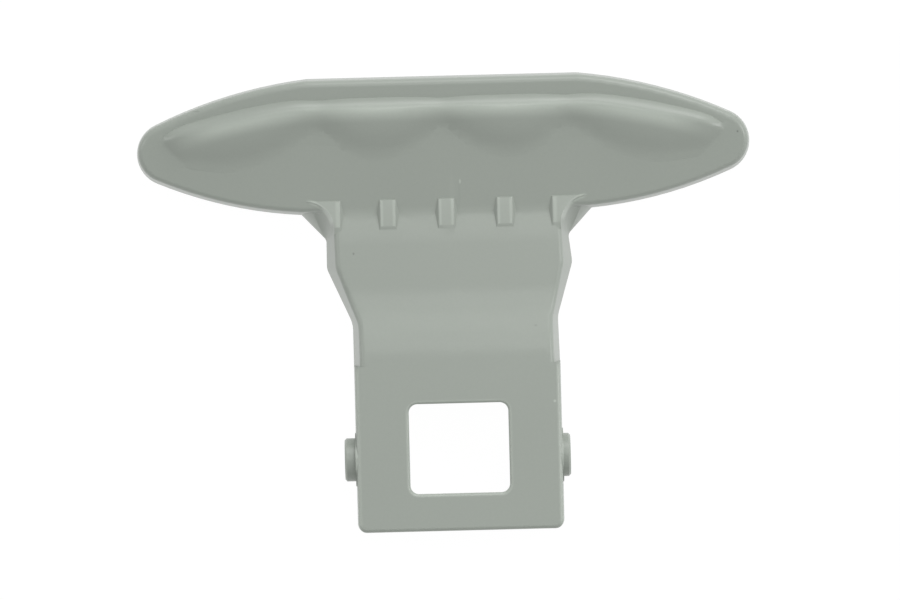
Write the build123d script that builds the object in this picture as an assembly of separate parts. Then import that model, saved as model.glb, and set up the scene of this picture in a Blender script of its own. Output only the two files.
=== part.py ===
from build123d import *
import math
import os

os.makedirs("parts", exist_ok=True)

# Door handle of a washing machine, one hollow moulding. Millimetres.
# X runs along the pivot axis, Y from the pivot towards the grip, Z up out of the visible face.
# The shape is drawn with the rim it rests on at Z = 0 and moved at the end, so that the origin
# lies in the middle of the pivot axis.

# Moulding
wall = 2.2                      # thickness of the shell
below = 2.0                     # how far the hollow is run past the rim
pivot_height = 5.75             # pivot axis above the rim
run = 20.0                      # how far a block is run past what cuts it or what it cuts
least_round = 0.4               # smallest plan round that is left on the hollow's corners
near_enough = 0.02              # an edge this close to a face or line is taken to lie on it

# Stem: the box that carries the window and the two pins
stem_half = 21.6                # half width at the rim
stem_bottom = -15.45
stem_top = 19.6
stem_draft = 1.5                # degrees
stem_corner = 2.0               # plan corners at the bottom end
panel_level = 11.5              # the flat panel above the rim
window_half = 10.35
window_top = 11.3
window_bottom = -7.4
window_corner = 1.8

# Pins
pin_radius = 4.5
pin_chamfer = 0.4
seat_radius = 5.6               # flat round seat that each pin stands on
seat_face = 21.65
pin_left_end = 23.87            # from the stem's axis, both
pin_right_end = 23.12

# Neck: plan corners from the stem up to the web under the grip, at the rim and at neck_top,
# left and right, with the round at each corner
neck_top = 12.5
neck_left_rim = [(-21.6, 16.0), (-21.6, 28.3), (-26.75, 39.9), (-26.7, 46.0), (-32.2, 51.8)]
neck_left_top = [(-20.1, 16.0), (-20.0, 28.3), (-23.8, 39.9), (-24.3, 56.5), (-35.3, 57.2)]
neck_right_rim = [(21.6, 16.0), (21.3, 29.0), (24.6, 40.2), (23.9, 46.0), (29.3, 51.8)]
neck_right_top = [(20.1, 16.0), (19.7, 29.0), (21.6, 40.2), (21.4, 56.5), (32.4, 57.2)]
neck_rounds_rim = [6.0, 3.5, 1.5]
neck_rounds_top = [6.0, 7.0, 8.0]
neck_back = 60.0                # the neck ends inside the grip here
neck_shoulder = 1               # which of these corners points outwards; the others point inwards
neck_level = 8.9                # the neck's surface above the rim
slope_start = 20.5              # the curved rise from the neck up to the panel
slope_end = 36.0
slope_hold = 0.45               # share of it over which each end of the curve stays level
valley_fall_start = 44.5        # from here the neck falls in a curve to the valley
valley_lap = 2.4                # how far the neck then follows the grip's flat
neck_round = 1.2
neck_edge_level = 7.2           # the rounded edges lie above this and further out than the next
neck_edge_out = 15.0
neck_edge_turn = 45.1           # past here the ones across the neck are rounded too

# Grip: plan outline of straight top, two arcs on each side and a round tip
head_shift = -1.8               # the grip's middle is to the left of the stem's
grip_top = 79.75
grip_flat_half = 28.2
grip_top_radius = 99.3
tip_x = 57.38
tip_y = 64.8
tip_radius = 6.675
grip_low_radius = 90.0
grip_low_half = 30.06
grip_low = 51.34
grip_draft = 3.5

# Flat of the grip: one plane that rises from the valley to the upper edge
valley_y = 51.1
valley_level = 8.1
flat_slope = 0.22

# Finger swellings that stand on the flat, all in the grip's own frame
crease_mid = 74.9               # Y of their upper boundary
crease_notch = 0.3              # it dips where two swellings meet
notch_width = 4.0
crease_bend = 28.0              # from here outwards it falls towards the ends
crease_drop = 6.2               # how much lower it is at the ends
crease_power = 1.55
cusp_x = 25.8                   # where the inner and the outer swelling of a side meet
low_inner = (14.1, 62.7)        # lowest point of the foot of the inner swelling
low_outer = (45.5, 61.2)        # and of the outer one
foot_cusp = 70.6                # Y of the foot where two swellings meet
foot_power = 2.1                # how late the foot turns up towards it
foot_end_rise = 2.0             # how much it rises from the outer low point to the end
foot_end_power = 1.3
swell_height = 1.8              # crest above the flat
crest_share = 0.27              # where the crest lies between crease and foot
steep_share = 0.7               # where the face below the crest is steepest
foot_slope = 0.3                # what is left of its slope at the foot
narrow_power = 0.8              # how much lower a swelling is where it is narrow
saddle_height = 1.4             # crest above the flat where two swellings meet
saddle_front = 2.1              # how far that crest lies below the crease
saddle_run = 3.4                # its back fades over this length
saddle_power = 1.25
saddle_sink = 1.0               # and ends this far below the flat
swell_end = 59.0                # half length of the whole row
swell_end_round = 6.0           # length over which the row's end is rounded off
blend = 2.0                     # how sharply swellings and saddles run into each other, per mm
swell_reach = swell_end + 2.0   # the lines that carry the face run out this far, below the flat
swell_apron = 2.5               # how far the face runs on, and drops, past its crease and feet
face_shares = [-0.07, 0.0, 0.06, 0.12, 0.18, 0.25, 0.32, 0.42, 0.54, 0.66, 0.77, 0.87, 0.97, 1.08]
face_pitch = 2.54               # distance between points on each line
core_shares = [-0.07, 0.08, 0.22, 0.5, 0.78, 1.08]
core_pitch = 5.08
core_drop = 2.6                 # the hollow's swellings lie this much lower
core_back = 0.6                 # and this much further down the grip

# Bridges across the valley
bridge_centres = [-12.17, 0.0, 12.17]
bridge_shift = -1.49            # their middle, from the stem's centre line
bridge_land = 3.1               # width of the flat on top
bridge_low = 48.6
bridge_high = 53.8
bridge_level = 8.98
bridge_taper = 42.0
bridge_side = 22.15             # inner edge of the outer bridges' flats
bridge_reach = 12.0             # how far those run out into the web
bridge_ramp = 1.6               # length of the ramp at the lower end
bridge_ramp_fall = 0.42
bridge_root = 1.5               # how far they run down into the neck
bridge_lap = 4.0                # and on under the grip's flat
bridge_round = 0.5

# Ribs across the hidden side of the stem
rib_thickness = 1.5
rib_rise = 2.0                  # the ribs stop this far above the rim
rib_ys = [-10.6, 14.5]

# Rounds
panel_round = 0.8
lip_round = 1.3
window_round = 0.6


def shifted(x):
    """X of the grip's own frame in the part's frame."""
    return x + head_shift


def tangent_centre(start, tip, radius, side):
    """Centre of an arc that starts at a point and runs tangent, inside, into the tip's round."""
    sx, sy = start
    dx = tip[0] - sx
    dy = tip[1] - sy
    span = math.hypot(dx, dy)
    along = (radius**2 - (radius - tip_radius)**2 + span**2) / (2 * span)
    off = math.sqrt(radius**2 - along**2) * side
    return (sx + (along * dx - off * dy) / span, sy + (along * dy + off * dx) / span)


def on_circle(centre, radius, towards):
    """Point of a circle on the line from its centre towards another point."""
    dx = towards[0] - centre[0]
    dy = towards[1] - centre[1]
    span = math.hypot(dx, dy)
    return (centre[0] + radius * dx / span, centre[1] + radius * dy / span)


def arc_middle(centre, radius, a, b):
    """Point halfway along the short arc between two points."""
    mid = ((a[0] + b[0]) / 2, (a[1] + b[1]) / 2)
    return on_circle(centre, radius, mid)


tip = (tip_x, tip_y)
top_start = (grip_flat_half, grip_top)
low_start = (grip_low_half, grip_low)
top_centre = tangent_centre(top_start, tip, grip_top_radius, -1)
low_centre = tangent_centre(low_start, tip, grip_low_radius, 1)
top_touch = on_circle(top_centre, grip_top_radius, tip)
low_touch = on_circle(low_centre, grip_low_radius, tip)


def grip_outline():
    """Plan outline of the grip at the rim."""
    def right(p):
        return (shifted(p[0]), p[1])

    def left(p):
        return (shifted(-p[0]), p[1])

    tip_far = (tip_x + tip_radius, tip_y)
    top_mid = arc_middle(top_centre, grip_top_radius, top_start, top_touch)
    low_mid = arc_middle(low_centre, grip_low_radius, low_start, low_touch)
    with BuildSketch() as sk:
        with BuildLine():
            Line(right(top_start), left(top_start))
            ThreePointArc(left(top_start), left(top_mid), left(top_touch))
            ThreePointArc(left(top_touch), left(tip_far), left(low_touch))
            ThreePointArc(left(low_touch), left(low_mid), left(low_start))
            Line(left(low_start), right(low_start))
            ThreePointArc(right(low_start), right(low_mid), right(low_touch))
            ThreePointArc(right(low_touch), right(tip_far), right(top_touch))
            ThreePointArc(right(top_touch), right(top_mid), right(top_start))
        make_face()
    return sk.sketch


def flat_level(y, inset=0.0):
    """Height of the sloping flat, or of the face that lies under it at an inset."""
    return valley_level + (y - valley_y) * flat_slope - inset * math.hypot(1, flat_slope)


def crease_y(x):
    """Upper boundary of the swellings."""
    notch = math.exp(-((x / notch_width) ** 2)) + math.exp(-(((x - cusp_x) / notch_width) ** 2))
    t = max(x - crease_bend, 0) / (swell_end - crease_bend)
    return crease_mid - crease_notch * notch - crease_drop * t**crease_power


def foot_y(x):
    """Lower boundary: one lowest point for each swelling, rising to where two of them meet."""
    if x >= low_outer[0]:
        t = (x - low_outer[0]) / (swell_end - low_outer[0])
        return low_outer[1] + foot_end_rise * t**foot_end_power
    if x >= cusp_x:
        low_x, low_y = low_outer
        t = (low_x - x) / (low_x - cusp_x)
    elif x >= low_inner[0]:
        low_x, low_y = low_inner
        t = (x - low_x) / (cusp_x - low_x)
    else:
        low_x, low_y = low_inner
        t = (low_x - x) / low_x
    return low_y + (foot_cusp - low_y) * t**foot_power


def low_line(x):
    """Smooth line through the lowest points of the feet."""
    t = min(x / low_outer[0], 1)
    line = low_inner[1] + (low_outer[1] - low_inner[1]) * t * t
    return line if x < low_outer[0] else foot_y(x)


def side_view(share):
    """Side view of a swelling: 0 at the crease, 1 at the crest, 0 at the foot, less past them."""
    if share < crest_share:
        return 1 - ((crest_share - share) / crest_share) ** 2
    t = (share - crest_share) / (1 - crest_share)
    left = 1 - steep_share
    steepest = 2 - foot_slope * left
    if t < steep_share:
        return 1 - steepest * t * t / (2 * steep_share)
    if t < 1:
        past = t - steep_share
        fall = steepest * (steep_share / 2 + past)
        return 1 - fall + (steepest - foot_slope) * past**2 / (2 * left)
    return -foot_slope * (t - 1) - (t - 1) ** 2


def saddle_view(behind):
    """Height of the saddle between two swellings, by the distance below the crease."""
    if behind < saddle_front:
        return saddle_height * (1 - ((saddle_front - behind) / saddle_front) ** 2)
    fade = math.exp(-(((behind - saddle_front) / saddle_run) ** saddle_power))
    return (saddle_height + saddle_sink) * fade - saddle_sink


def bump(x, y):
    """Height of the swellings over the flat; it goes below zero past their feet and crease."""
    x = abs(x)
    crease = crease_y(x)
    gap = crease - foot_y(x)
    full = crease_mid - low_inner[1]
    tall = swell_height * min(gap / full, 1) ** narrow_power
    swell = tall * side_view((crease - y) / gap)
    saddle = saddle_view(crease - y)
    height = math.log(math.exp(blend * swell) + math.exp(blend * saddle)) / blend
    past = max(x - (swell_end - swell_end_round), 0) / swell_end_round
    return height - swell_height * past**2


def swell_line(share, count):
    """Points of one line along the row: share 0 is the crease, 1 the lowest points of the feet."""
    points = []
    for i in range(count + 1):
        x = swell_reach * (2 * i / count - 1)
        crease = crease_y(abs(x))
        y = crease - share * (crease - low_line(abs(x)))
        points.append((shifted(x), y, flat_level(y) + bump(x, y)))
    return points


def apron_line(y, count):
    """Straight line under the flat, on which the swellings' face ends."""
    z = flat_level(y) - swell_apron
    return [(shifted(swell_reach * (2 * i / count - 1)), y, z) for i in range(count + 1)]


def swellings(shares, pitch):
    """Solid under the swellings' face: lines along the row, joined by strips, down past the rim."""
    count = round(2 * swell_reach / pitch)
    lines = [apron_line(crease_mid + swell_apron, count)]
    lines += [swell_line(share, count) for share in shares]
    lines.append(apron_line(low_outer[1] - swell_apron, count))
    wires = []
    for line in lines:
        left, y, _ = line[0]
        right = line[-1][0]
        steps = [i / count for i in range(count + 1)]
        top = Edge.make_spline([Vector(*point) for point in line], parameters=steps)
        base = Polyline(line[-1], (right, y, -run), (left, y, -run), line[0])
        wires.append(Wire([top, *base.edges()]))
    return Solid.make_loft(wires, ruled=True)


def flat_block(inset):
    """Everything under the flat's plane."""
    near = grip_low - run
    far = grip_top + run
    with BuildSketch(Plane.YZ) as sk:
        with BuildLine():
            Polyline(
                (near, flat_level(near, inset)),
                (far, flat_level(far, inset)),
                (far, -run),
                (near, -run),
                close=True,
            )
        make_face()
    return extrude(sk.sketch, amount=tip_x + run, both=True)


def grip_prism(inset, start):
    """The grip's drafted block, from a level up past its flat, before anything cuts it."""
    outline = grip_outline()
    if inset:
        outline = offset(outline, amount=-inset, kind=Kind.INTERSECTION)
    return extrude(Plane.XY.offset(start) * outline, amount=run - start, taper=grip_draft)


def grip():
    """Grip with its swellings, and with the outer edge of its flat rounded."""
    block = grip_prism(0, 0)
    body = (block & flat_block(0)) + (block & swellings(face_shares, face_pitch))
    edges = []
    for edge in body.edges():
        middle = edge.position_at(0.5)
        on_flat = abs(middle.Z - flat_level(middle.Y)) < near_enough
        if on_flat and edge.geom_type != GeomType.BSPLINE:
            edges.append(edge)
    return fillet(edges, lip_round)


def grip_core():
    """Hollow of the grip; its ceiling follows the flat and, lower and softer, the swellings."""
    block = grip_prism(wall, -below)
    row = Pos(0, -core_back, -core_drop) * swellings(core_shares, core_pitch)
    return (block & flat_block(wall)) + (block & row)


def side_profile(inset):
    """Neck and panel seen from the side, filled down past the rim."""
    low = -below
    panel = panel_level - inset
    level = neck_level - inset
    valley = flat_level(valley_y, inset)
    lap = valley_y + valley_lap
    bend = (slope_end - slope_start) * slope_hold
    dip = (valley_y - valley_fall_start) / 2
    start = stem_bottom - run
    with BuildSketch(Plane.YZ) as sk:
        with BuildLine():
            Polyline((start, low), (start, panel), (slope_start, panel))
            Bezier(
                (slope_start, panel), (slope_start + bend, panel),
                (slope_end - bend, level), (slope_end, level),
            )
            Line((slope_end, level), (valley_fall_start, level))
            Bezier((valley_fall_start, level), (valley_fall_start + dip, level), (valley_y, valley))
            Polyline((valley_y, valley), (lap, flat_level(lap, inset)), (neck_back, low), (start, low))
        make_face()
    return extrude(sk.sketch, amount=stem_half + run, both=True)


def neck_outline(left, right, rounds, inset, level):
    """Plan outline of the neck at one level, with its corners rounded."""
    left = [(x + inset, y) for x, y in left]
    right = [(x - inset, y) for x, y in right]
    back = neck_back - inset
    points = left + [(left[-1][0], back), (right[-1][0], back)] + right[::-1]
    face = make_face(Polyline(*points, close=True))
    for i, radius in enumerate(rounds):
        for side in (left, right):
            x, y = side[i + 1]
            corner = face.vertices().sort_by_distance((x, y, 0))[0]
            inwards = i != neck_shoulder
            face = fillet(corner, radius + inset if inwards else max(radius - inset, least_round))
    return Plane.XY.offset(level) * face


def neck_sides(inset):
    """The neck's leaning sides: a ruled loft from the rim outline to the one at neck_top."""
    low = neck_outline(neck_left_rim, neck_right_rim, neck_rounds_rim, inset, 0.0)
    high = neck_outline(neck_left_top, neck_right_top, neck_rounds_top, inset, neck_top)
    body = loft([low, high], ruled=True)
    if inset:
        body = body + extrude(low, amount=-below)
    return body


def neck(inset):
    """Neck, cut to its side view."""
    return neck_sides(inset) & side_profile(inset)


def stem(inset):
    """Drafted box with rounded bottom corners."""
    low = -below if inset else 0.0
    width = 2 * (stem_half - inset)
    y0 = stem_bottom + inset
    y1 = stem_top
    with BuildSketch(Plane.XY.offset(low)) as sk:
        with Locations((0, (y0 + y1) / 2)):
            Rectangle(width, y1 - y0)
        fillet(sk.vertices().sort_by(Axis.Y)[:2], max(stem_corner - inset, least_round))
    return extrude(sk.sketch, amount=panel_level - inset - low, taper=stem_draft)


def runs_along(edge):
    """Whether an edge runs more along Y than across it."""
    return abs(edge.tangent_at(0.5).Y) > 0.5


def bridges():
    """Tapered blocks that stand in the valley; the outer two run out into the web."""
    height = bridge_level - valley_level + bridge_root
    spans = [(centre - bridge_land / 2, centre + bridge_land / 2) for centre in bridge_centres]
    spans.append((bridge_side, bridge_side + bridge_reach))
    spans.append((-bridge_side - bridge_reach, -bridge_side))
    sides = neck_sides(0)
    deep = bridge_level - height
    low = bridge_low - bridge_ramp
    high = bridge_high + bridge_lap
    side_face = make_face(Polyline(
        (low, bridge_level - bridge_ramp_fall), (bridge_low, bridge_level), (high, bridge_level),
        (high, deep), (low, deep),
        close=True,
    ))
    ramp = extrude(Plane.YZ * side_face, amount=stem_half + run, both=True)
    blocks = []
    for x0, x1 in spans:
        middle = (bridge_shift + (x0 + x1) / 2, (low + bridge_high) / 2)
        land = Pos(*middle, bridge_level) * Rectangle(x1 - x0, bridge_high - low)
        block = extrude(land, amount=-height, taper=-bridge_taper) & ramp & sides
        straight = []
        for edge in block.edges().filter_by(GeomType.LINE):
            on_land = abs(edge.position_at(0.5).Z - bridge_level) < near_enough
            if on_land and runs_along(edge):
                straight.append(edge)
        blocks.append(fillet(straight, bridge_round))
    return blocks


def ribs():
    """Plain ribs across the stem, on either side of the window."""
    height = panel_level - rib_rise
    bar = Box(2 * stem_half - wall, rib_thickness, height)
    return [Pos(0, y, rib_rise + height / 2) * bar for y in rib_ys]


def pins():
    """Stub pins on the two sides of the stem, on one axis, each on its seat."""
    out = []
    for side, end in ((-1, pin_left_end), (1, pin_right_end)):
        root = stem_half - wall / 2
        start = Plane.YZ.offset(side * root)
        stub = extrude(start * (Pos(0, pivot_height) * Circle(pin_radius)), amount=side * (end - root))
        tip_face = stub.faces().sort_by(Axis.X)[-1 if side > 0 else 0]
        seat = start * (Pos(0, pivot_height) * Circle(seat_radius))
        out.append(chamfer(tip_face.edges(), pin_chamfer) + extrude(seat, amount=side * (seat_face - root)))
    return out


def rounded_stem():
    """Stem with its panel's edges rounded."""
    body = stem(0)
    panel = body.faces().sort_by(Axis.Z)[-1]
    return fillet(panel.edges().sort_by(Axis.Y)[:-1], panel_round)


def rounded_neck():
    """Neck with the edges of its surface rounded."""
    body = neck(0)
    edges = []
    for edge in body.edges():
        p = edge.position_at(0.5)
        outer = p.Z > neck_edge_level and abs(p.X) > neck_edge_out and p.Y < valley_y
        if outer and (runs_along(edge) or p.Y > neck_edge_turn):
            edges.append(edge)
    return fillet(edges, neck_round)


def handle():
    """The whole moulding, its rim at Z = 0."""
    body = grip() + rounded_neck() + rounded_stem() + bridges() + pins()
    core = grip_core() + neck(wall) + stem(wall)
    body = body - core
    body = body + [rib & core for rib in ribs()]
    middle = (window_top + window_bottom) / 2
    window = RectangleRounded(2 * window_half, window_top - window_bottom, window_corner)
    body = body - extrude(Pos(0, middle) * window, amount=run)
    rim = []
    for edge in body.edges():
        p = edge.position_at(0.5)
        on_panel = abs(p.Z - panel_level) < near_enough
        if on_panel and abs(p.X) < window_half + near_enough and abs(p.Y - middle) < window_half:
            rim.append(edge)
    return fillet(rim, window_round)


door_handle = Pos(0, 0, -pivot_height) * handle()
export_step(door_handle, "parts/door_handle.step")
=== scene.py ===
import math

import bmesh
import bpy
from bpy.props import FloatProperty, FloatVectorProperty, PointerProperty
from mathutils import Matrix, Vector


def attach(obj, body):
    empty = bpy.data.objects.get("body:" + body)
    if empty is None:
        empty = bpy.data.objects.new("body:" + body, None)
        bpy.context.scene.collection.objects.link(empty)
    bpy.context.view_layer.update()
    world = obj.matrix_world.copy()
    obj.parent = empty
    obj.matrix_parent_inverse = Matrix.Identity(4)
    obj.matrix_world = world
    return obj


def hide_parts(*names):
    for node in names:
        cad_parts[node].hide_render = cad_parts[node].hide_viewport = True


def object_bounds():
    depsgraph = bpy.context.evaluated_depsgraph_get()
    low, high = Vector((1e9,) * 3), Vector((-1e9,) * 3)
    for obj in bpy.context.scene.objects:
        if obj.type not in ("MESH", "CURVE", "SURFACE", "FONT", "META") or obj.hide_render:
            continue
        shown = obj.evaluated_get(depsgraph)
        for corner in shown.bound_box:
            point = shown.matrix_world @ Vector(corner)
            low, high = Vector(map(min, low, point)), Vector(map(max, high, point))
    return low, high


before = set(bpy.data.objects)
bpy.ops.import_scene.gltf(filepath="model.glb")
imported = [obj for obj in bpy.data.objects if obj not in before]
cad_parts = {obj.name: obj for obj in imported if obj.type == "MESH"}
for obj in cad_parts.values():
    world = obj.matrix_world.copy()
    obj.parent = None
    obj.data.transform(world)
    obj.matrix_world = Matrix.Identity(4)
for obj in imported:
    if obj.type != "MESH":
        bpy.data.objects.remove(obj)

bl_info = {
    "name": "Washing machine door handle",
    "version": (1, 0, 0),
    "blender": (4, 5, 0),
    "location": "View3D > Sidebar > Handle",
    "description": "Dresses the moulded door handle and lights it on a pale floor",
    "category": "Object",
}

CAD_LOW, CAD_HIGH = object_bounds()
MM = 0.001
MERGE_REACH = 0.002             # millimetres, below which two corners of the solid's mesh are one
EVEN_WEIGHT = 50                # how much a large face counts in the shading, from 1 to 100

# Small marks on the moulding: x, y, half width and half height in millimetres, then the tone
# that the mark multiplies the plastic by
MARKS = (
    (-21.0, 42.9, 0.24, 0.28, 0.72),
    (1.5, 57.4, 0.22, 0.50, 1.30),
    (16.5, 27.1, 0.35, 0.25, 0.86),
    (20.05, 11.3, 0.30, 0.30, 1.35),
    (-0.2, 55.5, 0.60, 3.60, 1.03),
    (1.3, 55.0, 0.30, 3.00, 0.97),
    (59.4, 66.3, 0.22, 0.22, 0.60),
    (-52.9, 73.2, 0.90, 0.16, 0.85),
)
MARK_FADE = (0.5, 1.3)          # shares of a mark's half size, between which it fades out

# Plastic: noise scales in waves to the metre, and the noise values between which a tone swings
PLASTIC_IOR = 1.5
CLOUD_SCALE = 22.0
CLOUD_DETAIL = 3.0
CLOUD_SPAN = (0.2, 0.8)
GRAIN_SCALE = 1600.0
GRAIN_DETAIL = 2.0
GRAIN_SPAN = (0.25, 0.75)
GRAIN_DEPTH = 0.02              # millimetres
ROUGHNESS_SPAN = (0.0, 1.0)
ROUGHNESS_SWING = 0.03
POLISH_ROUGHNESS = -0.08        # what the full mask adds to the roughness: the painted highlights are also drawn smoother

# Places of painted highlight, drawn paler and smoother where light catches the crest, bridges, webs and
# panel edges, in millimetres; in each pair a place comes in or fades out between the two values

# Crest of the swellings, where a painted highlight lies, measured down from the row's upper crease as the
# solid has it
GRIP_MIDDLE = -1.8
CREASE_MIDDLE = 74.9
CREASE_BEND = 28.0
CREASE_DROP = 6.2
CREASE_POWER = 1.55
ROW_END = 59.0
CREST_TOP = (0.4, 2.6)
CREST_FOOT = (2.2, 5.2)
CREST_SIDES = (46.0, 58.0)
CREST_DIP = 0.45                # how much lower the crest lies in the two outer swellings
CREST_DIP_SPAN = (24.0, 42.0)

# Bridges, with the shares of painted highlight and polish on their lands and what their edges add
BRIDGE_MIDDLE = -1.49
BRIDGE_PITCH = 12.17
BRIDGE_FOOT = (46.6, 47.4)
BRIDGE_HEAD = (53.7, 54.4)
LAND_LEVEL = (3.16, 3.21)
INNER_EDGE = (0.8, 1.2)
INNER_BRIDGES = (17.0, 18.0)
OUTER_EDGE_START = (22.0, 22.2)
OUTER_EDGE_END = (22.7, 23.3)
LAND_HIGHLIGHT_POLISH = 0.22
EDGE_HIGHLIGHT_POLISH = 0.45

# Curved edges of the two webs, which carry a painted highlight
WEB_MIDDLE = -1.3
WEB_OUT = 29.9
WEB_Y = 48.0
WEB_RADIUS = 6.0
WEB_EDGE = (0.2, 0.7)
WEB_OUTER_END = (-2.0, -0.4)
WEB_LOWER_END = (0.4, 2.0)
WEB_HIGHLIGHT_POLISH = 0.8

# Window's rim and the panel's sides, which carry a painted highlight
WINDOW_HALF = 10.35
WINDOW_TOP = 11.3
WINDOW_BOTTOM = -7.4
WINDOW_CORNER = 1.8
STEM_HALF = 21.3
RIM_EDGE = (0.45, 0.85)
SIDE_EDGE = (0.55, 0.95)
PANEL_LEVEL = (4.9, 5.3)
PANEL_TOP = (18.0, 19.6)
PANEL_HIGHLIGHT_POLISH = 0.45

# Stage, in metres but for the gap and the sensor; lights are placed from the picture's middle
FLOOR_GAP = 0.2                 # millimetres under the rim, so that the two don't share a plane
FLOOR_PAINT = {
    "Base Color": (0.04, 0.04, 0.04, 1.0),
    "Roughness": 0.9,
    "Specular IOR Level": 0.0,
    "Emission Color": (1.0, 1.0, 1.0, 1.0),
    "Emission Strength": 0.98,
}
WHITE = (1.0, 1.0, 1.0, 1.0)
MAIN_PLACE = (0.35, 1.10, 0.84)
NEAR_PLACE = (0.05, 0.12, 0.58)
LEFT_PLACE = (-0.50, 0.05, 0.34)
RIGHT_PLACE = (0.50, 0.05, 0.34)
SOFT_LIGHT_SIZE = 0.16
SENSOR_WIDTH = 36.0             # millimetres
NEAREST_SEEN = 0.01
FURTHEST_SEEN = 20.0


def node(tree, kind, **settings):
    """New shader node with its settings made."""
    made = tree.nodes.new(kind)
    for key, value in settings.items():
        setattr(made, key, value)
    return made


def feed(tree, socket, value):
    """Link an output to a socket, or set the socket to a number or colour."""
    if isinstance(value, bpy.types.NodeSocket):
        tree.links.new(value, socket)
    else:
        socket.default_value = value


def calculate(tree, operation, *values):
    """Result of one sum; each value is an output or a number."""
    made = node(tree, "ShaderNodeMath", operation=operation)
    for socket, value in zip(made.inputs, values):
        feed(tree, socket, value)
    return made.outputs[0]


def ramp(tree, source, start, end, low=0.0, high=1.0, course="SMOOTHSTEP"):
    """Value that goes from low, where the source is start, to high, where it is end."""
    made = node(tree, "ShaderNodeMapRange", interpolation_type=course)
    sockets = ("Value", "From Min", "From Max", "To Min", "To Max")
    for socket, value in zip(sockets, (source, start, end, low, high)):
        feed(tree, made.inputs[socket], value)
    return made.outputs["Result"]


def rise(tree, source, span):
    """From 0 before a stretch in millimetres to 1 after it."""
    start, end = span
    return ramp(tree, source, start * MM, end * MM)


def fade(tree, source, span):
    """From 1 before a stretch in millimetres to 0 after it."""
    start, end = span
    return ramp(tree, source, start * MM, end * MM, 1.0, 0.0)


def swing(tree, source, span, middle, amount):
    """Value that swings evenly about a middle while the source crosses a span."""
    start, end = span
    return ramp(tree, source, start, end, middle - amount, middle + amount, "LINEAR")


def distance(tree, value, middle):
    """Distance from a middle in millimetres, to either side."""
    return calculate(tree, "ABSOLUTE", calculate(tree, "SUBTRACT", value, middle * MM))


def beyond(tree, value, limit):
    """How far a value is past a limit in millimetres, and 0 before it."""
    return calculate(tree, "MAXIMUM", calculate(tree, "SUBTRACT", value, limit * MM), 0.0)


def straight_distance(tree, across, along):
    """Length of the straight line that goes so far across and so far along."""
    squares = [calculate(tree, "MULTIPLY", side, side) for side in (across, along)]
    return calculate(tree, "SQRT", calculate(tree, "ADD", *squares))


def crest_band(tree, x, y):
    """Band under the row's crease, where the swellings stand highest and a painted highlight is drawn."""
    aside = distance(tree, x, GRIP_MIDDLE)
    share = calculate(tree, "DIVIDE", beyond(tree, aside, CREASE_BEND), (ROW_END - CREASE_BEND) * MM)
    power = calculate(tree, "POWER", share, CREASE_POWER)
    drop = calculate(tree, "MULTIPLY", power, CREASE_DROP * MM)
    crease = calculate(tree, "SUBTRACT", CREASE_MIDDLE * MM, drop)
    dip_start, dip_end = CREST_DIP_SPAN
    dip = ramp(tree, aside, dip_start * MM, dip_end * MM, 0.0, CREST_DIP * MM)
    below = calculate(tree, "SUBTRACT", calculate(tree, "SUBTRACT", crease, y), dip)
    band = calculate(tree, "MULTIPLY", rise(tree, below, CREST_TOP), fade(tree, below, CREST_FOOT))
    return calculate(tree, "MULTIPLY", band, fade(tree, aside, CREST_SIDES))


def bridge_lands(tree, x, y, z):
    """Tops of the bridges, with a painted highlight that is stronger in a streak along each edge, and a
    smoother polish.
    """
    along = calculate(tree, "MULTIPLY", rise(tree, y, BRIDGE_FOOT), fade(tree, y, BRIDGE_HEAD))
    land = calculate(tree, "MULTIPLY", along, rise(tree, z, LAND_LEVEL))
    sideways = distance(tree, x, BRIDGE_MIDDLE)
    from_bridge = calculate(tree, "PINGPONG", sideways, BRIDGE_PITCH / 2 * MM)
    inner_streak = calculate(
        tree, "MULTIPLY", rise(tree, from_bridge, INNER_EDGE), fade(tree, sideways, INNER_BRIDGES)
    )
    outer_streak = calculate(
        tree, "MULTIPLY", rise(tree, sideways, OUTER_EDGE_START), fade(tree, sideways, OUTER_EDGE_END)
    )
    streak = calculate(tree, "MAXIMUM", inner_streak, outer_streak)
    share = calculate(tree, "MULTIPLY_ADD", streak, EDGE_HIGHLIGHT_POLISH, LAND_HIGHLIGHT_POLISH)
    return calculate(tree, "MULTIPLY", land, share)


def web_edges(tree, x, y):
    """Curved edges of the two webs, each an arc round a centre beside the stem, where a painted highlight
    is drawn.
    """
    across = calculate(tree, "SUBTRACT", distance(tree, x, WEB_MIDDLE), WEB_OUT * MM)
    along = calculate(tree, "SUBTRACT", y, WEB_Y * MM)
    from_edge = distance(tree, straight_distance(tree, across, along), WEB_RADIUS)
    edge = calculate(tree, "MULTIPLY", fade(tree, from_edge, WEB_EDGE), fade(tree, across, WEB_OUTER_END))
    return calculate(tree, "MULTIPLY", edge, rise(tree, along, WEB_LOWER_END))


def panel_edges(tree, x, y, z):
    """Rim of the window, which has round corners, and the two sides of the panel round it, where a
    painted highlight is drawn.
    """
    middle = (WINDOW_TOP + WINDOW_BOTTOM) / 2
    aside = distance(tree, x, 0.0)
    across = beyond(tree, aside, WINDOW_HALF - WINDOW_CORNER)
    along = beyond(tree, distance(tree, y, middle), WINDOW_TOP - WINDOW_CORNER - middle)
    from_corner = straight_distance(tree, across, along)
    from_rim = calculate(tree, "SUBTRACT", from_corner, WINDOW_CORNER * MM)
    from_side = calculate(tree, "SUBTRACT", STEM_HALF * MM, aside)
    edges = calculate(tree, "MAXIMUM", fade(tree, from_rim, RIM_EDGE), fade(tree, from_side, SIDE_EDGE))
    edges = calculate(tree, "MULTIPLY", edges, rise(tree, z, PANEL_LEVEL))
    return calculate(tree, "MULTIPLY", edges, fade(tree, y, PANEL_TOP))


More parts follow.
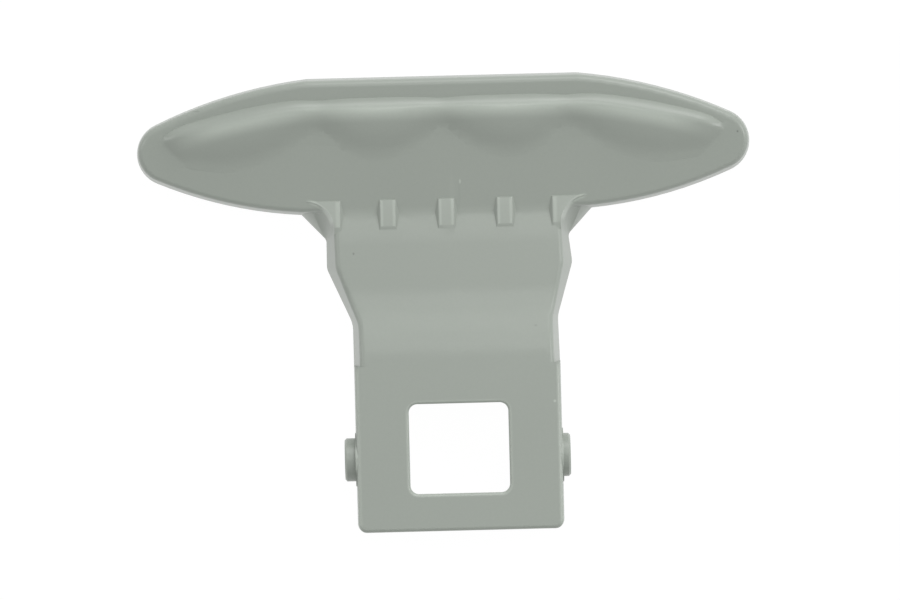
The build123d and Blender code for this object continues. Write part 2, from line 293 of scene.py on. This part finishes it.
def painted_highlight_and_polish_places(tree, axes, on_face):
    """How much each place of the face carries the painted highlight and the smoother polish, from 0 to 1.
    """
    x, y, z = axes.outputs
    panel = calculate(tree, "MULTIPLY", panel_edges(tree, x, y, z), PANEL_HIGHLIGHT_POLISH)
    web = calculate(tree, "MULTIPLY", web_edges(tree, x, y), WEB_HIGHLIGHT_POLISH)
    painted_highlight_polish_mask = calculate(tree, "MAXIMUM", bridge_lands(tree, x, y, z), panel)
    painted_highlight_polish_mask = calculate(tree, "MAXIMUM", painted_highlight_polish_mask, web)
    painted_highlight_polish_mask = calculate(tree, "MAXIMUM", crest_band(tree, x, y), painted_highlight_polish_mask)
    return calculate(tree, "MULTIPLY", painted_highlight_polish_mask, on_face)


def noise(tree, place, scale, detail):
    """Noise in three dimensions at a place."""
    made = node(tree, "ShaderNodeTexNoise", noise_dimensions="3D")
    feed(tree, made.inputs["Vector"], place)
    feed(tree, made.inputs["Scale"], scale)
    feed(tree, made.inputs["Detail"], detail)
    return made.outputs["Fac"]


def marked_tone(tree, tone, place, on_face):
    """Tone with every small mark on the face multiplied in."""
    for x, y, half_x, half_y, strength in MARKS:
        centred = node(tree, "ShaderNodeMapping", vector_type="TEXTURE")
        feed(tree, centred.inputs["Vector"], place)
        feed(tree, centred.inputs["Location"], (x * MM, y * MM, 0.0))
        feed(tree, centred.inputs["Scale"], (half_x * MM, half_y * MM, 1.0))
        level = node(tree, "ShaderNodeVectorMath", operation="MULTIPLY")
        feed(tree, level.inputs[0], centred.outputs[0])
        feed(tree, level.inputs[1], (1.0, 1.0, 0.0))
        away = node(tree, "ShaderNodeVectorMath", operation="LENGTH")
        feed(tree, away.inputs[0], level.outputs[0])
        start, end = MARK_FADE
        mark = ramp(tree, away.outputs["Value"], start, end, strength, 1.0)
        faced = node(tree, "ShaderNodeMix", data_type="FLOAT")
        for socket, value in zip((0, 2, 3), (on_face, 1.0, mark)):
            feed(tree, faced.inputs[socket], value)
        tone = calculate(tree, "MULTIPLY", tone, faced.outputs[0])
    return tone


def moulded_plastic(finish):
    """Satin moulded plastic: cloudy colour, fine grain, small marks, and painted highlights, drawn paler
    and smoother, on the crest, bridges, webs and panel edges.
    """
    material = bpy.data.materials.new("moulded_plastic")
    material.use_nodes = True
    tree = material.node_tree
    shader = tree.nodes["Principled BSDF"]
    shader.inputs["Specular IOR Level"].default_value = finish.gloss_level
    shader.inputs["IOR"].default_value = PLASTIC_IOR

    place = node(tree, "ShaderNodeTexCoord").outputs["Object"]
    axes = node(tree, "ShaderNodeSeparateXYZ")
    feed(tree, axes.inputs[0], place)
    on_face = calculate(tree, "GREATER_THAN", axes.outputs["Z"], 0.0)
    painted_highlight_polish_mask = painted_highlight_and_polish_places(tree, axes, on_face)
    cloud = noise(tree, place, CLOUD_SCALE, CLOUD_DETAIL)
    grain = noise(tree, place, GRAIN_SCALE, GRAIN_DETAIL)

    cloud_tone = swing(tree, cloud, CLOUD_SPAN, 1.0, finish.cloudiness)
    grain_tone = swing(tree, grain, GRAIN_SPAN, 1.0, finish.graininess)
    tone = calculate(tree, "MULTIPLY", cloud_tone, grain_tone)
    tone = marked_tone(tree, tone, place, on_face)
    # Painted highlight: the marked places are drawn paler, standing in for light caught on the crest,
    # bridges, webs and panel edges
    painted_lighter = calculate(tree, "MULTIPLY_ADD", painted_highlight_polish_mask, finish.painted_highlight_strength, 1.0)
    tone = calculate(tree, "MULTIPLY", tone, painted_lighter)
    colour = node(tree, "ShaderNodeVectorMath", operation="SCALE")
    feed(tree, colour.inputs[0], finish.colour[:3])
    feed(tree, colour.inputs["Scale"], tone)
    feed(tree, shader.inputs["Base Color"], colour.outputs[0])

    rough = swing(tree, cloud, ROUGHNESS_SPAN, finish.roughness, ROUGHNESS_SWING)
    # The same mask also makes those places smoother
    smoother = calculate(tree, "MULTIPLY_ADD", painted_highlight_polish_mask, POLISH_ROUGHNESS, rough)
    feed(tree, shader.inputs["Roughness"], smoother)

    bump = node(tree, "ShaderNodeBump")
    feed(tree, bump.inputs["Strength"], finish.grain_relief)
    feed(tree, bump.inputs["Distance"], GRAIN_DEPTH * MM)
    feed(tree, bump.inputs["Height"], grain)
    feed(tree, shader.inputs["Normal"], bump.outputs["Normal"])
    return material


def smooth_copy(solid, name, crease_angle):
    """Copy of a solid's mesh, merged and shaded smoothly across all but its real edges."""
    mesh = solid.data.copy()
    mesh.name = name
    if "custom_normal" in mesh.attributes:
        mesh.attributes.remove(mesh.attributes["custom_normal"])
    work = bmesh.new()
    work.from_mesh(mesh)
    bmesh.ops.remove_doubles(work, verts=work.verts, dist=MERGE_REACH * MM)
    for face in work.faces:
        face.smooth = True
    for edge in work.edges:
        joined = len(edge.link_faces) == 2
        edge.smooth = joined and edge.calc_face_angle() < crease_angle
    work.to_mesh(mesh)
    work.free()
    mesh.materials.clear()
    piece = bpy.data.objects.new(name, mesh)
    bpy.context.scene.collection.objects.link(piece)
    even = piece.modifiers.new("even_shading", "WEIGHTED_NORMAL")
    even.mode = "FACE_AREA_WITH_ANGLE"
    even.weight = EVEN_WEIGHT
    even.keep_sharp = True
    return piece


def pale_floor(size):
    """Level square under the part that glows evenly."""
    half = size / 2
    level = CAD_LOW.z - FLOOR_GAP * MM
    mesh = bpy.data.meshes.new("pale_floor")
    corners = [(-half, -half, level), (half, -half, level), (half, half, level), (-half, half, level)]
    mesh.from_pydata(corners, [], [(0, 1, 2, 3)])
    floor = bpy.data.objects.new("pale_floor", mesh)
    bpy.context.scene.collection.objects.link(floor)
    paint = bpy.data.materials.new("pale_floor")
    paint.use_nodes = True
    shader = paint.node_tree.nodes["Principled BSDF"]
    for socket, value in FLOOR_PAINT.items():
        shader.inputs[socket].default_value = value
    mesh.materials.append(paint)
    return floor


def white_surround(strength):
    """World that gives the same white light from all round."""
    world = bpy.data.worlds.new("studio")
    world.use_nodes = True
    background = world.node_tree.nodes["Background"]
    background.inputs["Color"].default_value = WHITE
    background.inputs["Strength"].default_value = strength
    return world


def aimed_light(name, kind, place, target, **settings):
    """Light at a place measured from the target, and turned to it."""
    data = bpy.data.lights.new(name, kind)
    for key, value in settings.items():
        setattr(data, key, value)
    light = bpy.data.objects.new(name, data)
    bpy.context.scene.collection.objects.link(light)
    light.location = target + Vector(place)
    light.rotation_euler = (target - light.location).to_track_quat("-Z", "Y").to_euler()


def overhead_camera(target, view_width, lens, roll):
    """Camera that looks straight down on the target and sees a given width there."""
    data = bpy.data.cameras.new("camera")
    data.sensor_width = SENSOR_WIDTH
    data.lens = lens
    data.clip_start = NEAREST_SEEN
    data.clip_end = FURTHEST_SEEN
    camera = bpy.data.objects.new("camera", data)
    bpy.context.scene.collection.objects.link(camera)
    height = view_width * lens / SENSOR_WIDTH
    camera.matrix_world = (
        Matrix.Translation(target + Vector((0.0, 0.0, height))) @ Matrix.Rotation(-roll, 4, "Z")
    )
    return camera


class HandleFinish(bpy.types.PropertyGroup):
    crease_angle: FloatProperty(
        name="Crease angle", description="Edges sharper than this stay crisp",
        default=math.radians(38.0), subtype="ANGLE",
    )
    colour: FloatVectorProperty(
        name="Plastic colour", description="Colour of the moulding",
        default=(0.337, 0.369, 0.331, 1.0), size=4, min=0.0, max=1.0, subtype="COLOR",
    )
    roughness: FloatProperty(
        name="Roughness", description="Roughness of the satin surface",
        default=0.36, min=0.05, max=1.0, subtype="FACTOR",
    )
    gloss_level: FloatProperty(
        name="Gloss level", description="Strength of the surface reflection",
        default=0.50, min=0.0, max=1.0, subtype="FACTOR",
    )
    # Strength of the painted highlight: how much paler the crest, bridges, webs and panel edges are drawn
    # where light catches them
    painted_highlight_strength: FloatProperty(
        name="Wear", description="How much paler the plastic is where fingers rub it",
        default=0.38, min=0.0, max=1.0, subtype="FACTOR",
    )
    cloudiness: FloatProperty(
        name="Cloudiness", description="How much the colour drifts over the moulding",
        default=0.022, min=0.0, max=0.2, subtype="FACTOR",
    )
    graininess: FloatProperty(
        name="Graininess", description="Strength of the fine colour grain",
        default=0.012, min=0.0, max=0.2, subtype="FACTOR",
    )
    grain_relief: FloatProperty(
        name="Grain relief", description="Strength of the fine surface texture",
        default=0.25, min=0.0, max=1.0, subtype="FACTOR",
    )


class StageSettings(bpy.types.PropertyGroup):
    floor_size: FloatProperty(
        name="Floor size", description="Width of the pale floor",
        default=6.0, unit="LENGTH",
    )
    view_width: FloatProperty(
        name="View width", description="Width that the picture covers at the part",
        default=0.18828, unit="LENGTH",
    )
    view_x: FloatProperty(
        name="View centre X", description="How far right of the stem's middle the picture's middle is",
        default=-0.00118, unit="LENGTH",
    )
    view_y: FloatProperty(
        name="View centre Y", description="How far above the pivot's line the picture's middle is",
        default=0.03278, unit="LENGTH",
    )
    roll: FloatProperty(
        name="Roll", description="How far the part is turned in the picture",
        default=math.radians(1.45), subtype="ANGLE",
    )
    lens: FloatProperty(
        name="Lens", description="Focal length of the camera in millimetres",
        default=300.0, unit="CAMERA",
    )
    key_strength: FloatProperty(
        name="Main light", description="Strength of the wide light from beyond the grip",
        default=1.30,
    )
    key_spread: FloatProperty(
        name="Main light's spread", description="Angle that the wide light covers",
        default=math.radians(40.0), subtype="ANGLE",
    )
    near_power: FloatProperty(
        name="Near light", description="Power of the soft light over the stem",
        default=0.29, unit="POWER",
    )
    left_power: FloatProperty(
        name="Left light", description="Power of the light to the left of the part",
        default=0.40, unit="POWER",
    )
    right_power: FloatProperty(
        name="Right light", description="Power of the light to the right of the part",
        default=0.74, unit="POWER",
    )
    sky: FloatProperty(
        name="Surround", description="Strength of the even light all round",
        default=0.47,
    )


class HANDLE_OT_moulding(bpy.types.Operator):
    """Give the moulded handle its satin plastic"""
    bl_idname = "handle.moulding"
    bl_label = "Dress the moulding"

    def execute(self, context):
        finish = context.scene.handle_finish
        piece = smooth_copy(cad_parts["door_handle"], "handle_moulding", finish.crease_angle)
        piece.data.materials.append(moulded_plastic(finish))
        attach(piece, "root")
        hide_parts("door_handle")
        return {"FINISHED"}


class HANDLE_OT_stage(bpy.types.Operator):
    """Build the pale floor, the soft lights and the camera"""
    bl_idname = "handle.stage"
    bl_label = "Build the stage"

    def execute(self, context):
        scene = context.scene
        stage = scene.handle_stage
        floor = pale_floor(stage.floor_size)
        scene.world = white_surround(stage.sky)

        target = Vector((stage.view_x, stage.view_y, CAD_LOW.z))
        aimed_light(
            "main_light", "SUN", MAIN_PLACE, target,
            energy=stage.key_strength, angle=stage.key_spread,
        )
        soft_lights = (
            ("near_light", NEAR_PLACE, stage.near_power),
            ("left_light", LEFT_PLACE, stage.left_power),
            ("right_light", RIGHT_PLACE, stage.right_power),
        )
        for name, place, power in soft_lights:
            aimed_light(name, "AREA", place, target, size=SOFT_LIGHT_SIZE, energy=power)

        scene.camera = overhead_camera(target, stage.view_width, stage.lens, stage.roll)
        scene.view_settings.view_transform = "Standard"
        return {"FINISHED"}


class HANDLE_PT_panel(bpy.types.Panel):
    """Sizes, colours and steps of the door handle"""
    bl_idname = "HANDLE_PT_panel"
    bl_label = "Door handle"
    bl_space_type = "VIEW_3D"
    bl_region_type = "UI"
    bl_category = "Handle"

    def draw(self, context):
        layout = self.layout
        for group in (context.scene.handle_finish, context.scene.handle_stage):
            box = layout.box()
            for name in group.__annotations__:
                box.prop(group, name)
        layout.operator(HANDLE_OT_moulding.bl_idname)
        layout.operator(HANDLE_OT_stage.bl_idname)


CLASSES = (HandleFinish, StageSettings, HANDLE_OT_moulding, HANDLE_OT_stage, HANDLE_PT_panel)


def register():
    for cls in CLASSES:
        bpy.utils.register_class(cls)
    bpy.types.Scene.handle_finish = PointerProperty(type=HandleFinish)
    bpy.types.Scene.handle_stage = PointerProperty(type=StageSettings)


def unregister():
    del bpy.types.Scene.handle_stage
    del bpy.types.Scene.handle_finish
    for cls in reversed(CLASSES):
        bpy.utils.unregister_class(cls)


def main():
    register()
    bpy.ops.handle.moulding()
    bpy.ops.handle.stage()


if __name__ == "__main__":
    main()
